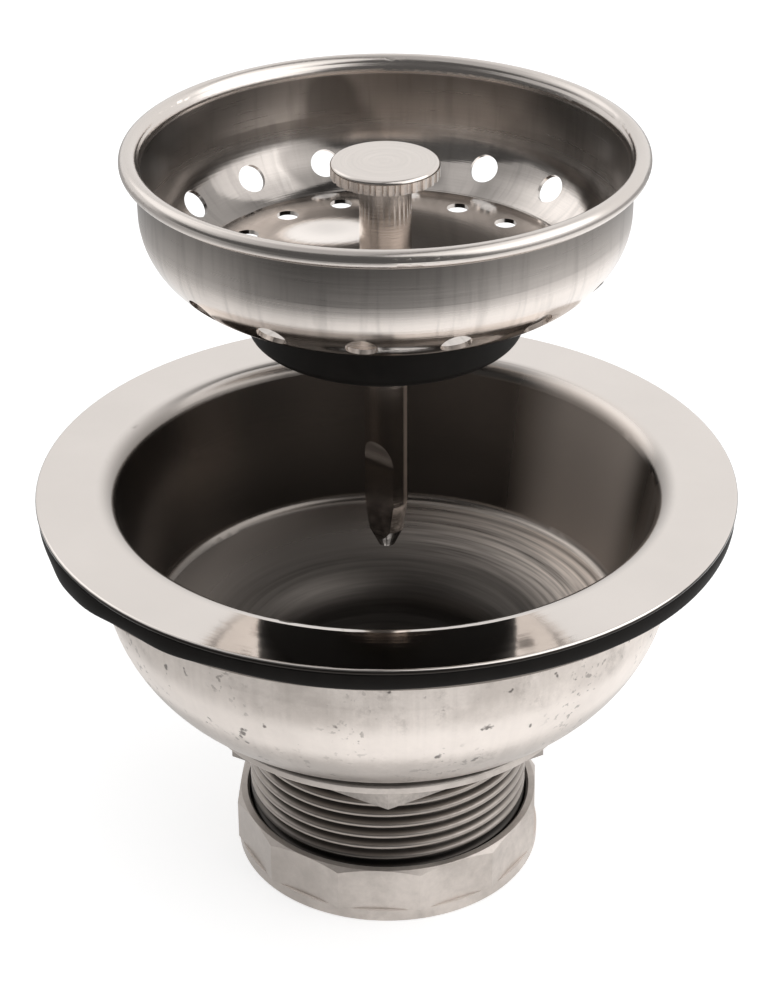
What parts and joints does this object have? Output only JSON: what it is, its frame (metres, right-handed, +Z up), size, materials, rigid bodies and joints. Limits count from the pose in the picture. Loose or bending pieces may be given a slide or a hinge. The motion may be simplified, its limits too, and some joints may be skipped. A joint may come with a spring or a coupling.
{
  "type": "basket strainer waste",
  "caption": "Kitchen sink basket strainer: flanged cup with gasket, clamping shell, locknut, threaded outlet, coupling nut and a lift-out perforated basket with a knob and rubber stopper.",
  "frame": {"origin": "on the drain's axis, on the underside of the coupling nut", "axes": "+Z up along the drain's axis, from the coupling nut to the basket's rim; -Y is the picture's front"},
  "size_m": [0.1142, 0.1142, 0.1297],
  "materials": {
    "cup_steel": "satin flange, polished cup",
    "thread_metal": "machined, slightly dull",
    "shell_metal": "pale satin with fine pits",
    "nut_metal": "cast and tumbled, matt plated",
    "basket_steel": "bright drawn, brushed outside",
    "turned_rod": "turned and plated",
    "black_rubber": "black moulded rubber",
    "fibre": "pressed fibre"
  },
  "bodies": {
    "strainer": {"strainer_body": "cup_steel", "outlet_nipple": "thread_metal", "stem_guide": "thread_metal"},
    "clamp": {"lock_shell": "shell_metal", "friction_washer": "fibre", "rubber_gasket": "black_rubber"},
    "locknut": {"locknut": "nut_metal"},
    "seal": {"slip_washer": "black_rubber"},
    "coupling_nut": {"coupling_nut": "nut_metal"},
    "basket": {"basket_cup": "basket_steel", "stopper": "black_rubber", "stopper_washer": "basket_steel", "knob": "turned_rod", "stem": "turned_rod"}
  },
  "joints": [
    {"name": "basket_lift", "type": "slide", "parent": "strainer", "child": "basket", "axis": [0, 0, 1], "range_m": [-0.0618, 0]},
    {"name": "clamp_slide", "type": "slide", "parent": "strainer", "child": "clamp", "axis": [0, 0, 1], "range_m": [-0.012, 0]},
    {"name": "locknut_turn", "type": "hinge", "parent": "clamp", "child": "locknut", "pos_m": [0, 0, 0.02963], "axis": [0, 0, 1], "range_deg": [-1956, 0]},
    {"name": "seal_slide", "type": "slide", "parent": "strainer", "child": "seal", "axis": [0, 0, 1], "range_m": [-0.0055, 0]},
    {"name": "coupling_nut_turn", "type": "hinge", "parent": "seal", "child": "coupling_nut", "pos_m": [0, 0, 0.005], "axis": [0, 0, 1], "range_deg": [-897, 0]}
  ],
  "couplings": [
    {"joint": "locknut_turn", "follows": "clamp_slide", "rad_per_m": 2844.4},
    {"joint": "coupling_nut_turn", "follows": "seal_slide", "rad_per_m": 2844.4}
  ]
}
